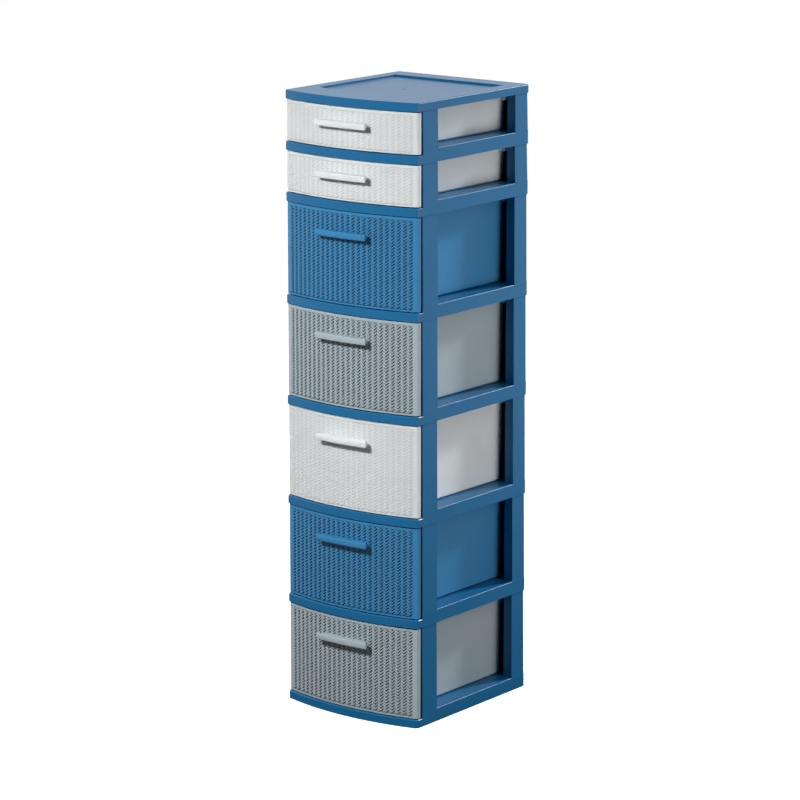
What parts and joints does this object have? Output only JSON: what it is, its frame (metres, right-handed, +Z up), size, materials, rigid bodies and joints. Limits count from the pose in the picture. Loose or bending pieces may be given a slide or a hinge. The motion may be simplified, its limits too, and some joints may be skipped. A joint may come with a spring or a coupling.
{
  "type": "plastic drawer tower",
  "caption": "Tall tower of stacked moulded tier frames with open sides and bowed fronts, holding textured drawers that slide out by pull bars, under a flat lid with a sunk top.",
  "frame": {"origin": "on the floor, at the middle of the tower's bounding box in plan, pull bars included", "axes": "+Z up, the drawers open towards -Y, +X to the viewer's right as they face the drawers"},
  "size_m": [0.32, 0.3886, 1.2025],
  "materials": {
    "frame_plastic": "blue moulded polypropylene, satin",
    "white_plastic": "white moulded polypropylene with a knit relief",
    "blue_plastic": "blue moulded polypropylene with a knit relief",
    "grey_plastic": "grey moulded polypropylene with a knit relief"
  },
  "bodies": {
    "tower": {"top_cover": "frame_plastic", "tier_frame_1": "frame_plastic", "tier_frame_2": "frame_plastic", "tier_frame_3": "frame_plastic", "tier_frame_4": "frame_plastic", "tier_frame_5": "frame_plastic", "tier_frame_6": "frame_plastic", "tier_frame_7": "frame_plastic"},
    "drawer_body_1": {"drawer_1": "white_plastic", "pull_bar_1": "white_plastic"},
    "drawer_body_2": {"drawer_2": "white_plastic", "pull_bar_2": "white_plastic"},
    "drawer_body_3": {"drawer_3": "blue_plastic", "pull_bar_3": "blue_plastic"},
    "drawer_body_4": {"drawer_4": "grey_plastic", "pull_bar_4": "grey_plastic"},
    "drawer_body_5": {"drawer_5": "white_plastic", "pull_bar_5": "white_plastic"},
    "drawer_body_6": {"drawer_6": "blue_plastic", "pull_bar_6": "blue_plastic"},
    "drawer_body_7": {"drawer_7": "grey_plastic", "pull_bar_7": "grey_plastic"}
  },
  "joints": [
    {"name": "drawer_slide_1", "type": "slide", "parent": "tower", "child": "drawer_body_1", "axis": [0, -1, 0], "range_m": [0, 0.246]},
    {"name": "drawer_slide_2", "type": "slide", "parent": "tower", "child": "drawer_body_2", "axis": [0, -1, 0], "range_m": [0, 0.246]},
    {"name": "drawer_slide_3", "type": "slide", "parent": "tower", "child": "drawer_body_3", "axis": [0, -1, 0], "range_m": [0, 0.246]},
    {"name": "drawer_slide_4", "type": "slide", "parent": "tower", "child": "drawer_body_4", "axis": [0, -1, 0], "range_m": [0, 0.246]},
    {"name": "drawer_slide_5", "type": "slide", "parent": "tower", "child": "drawer_body_5", "axis": [0, -1, 0], "range_m": [0, 0.246]},
    {"name": "drawer_slide_6", "type": "slide", "parent": "tower", "child": "drawer_body_6", "axis": [0, -1, 0], "range_m": [0, 0.246]},
    {"name": "drawer_slide_7", "type": "slide", "parent": "tower", "child": "drawer_body_7", "axis": [0, -1, 0], "range_m": [0, 0.246]}
  ]
}
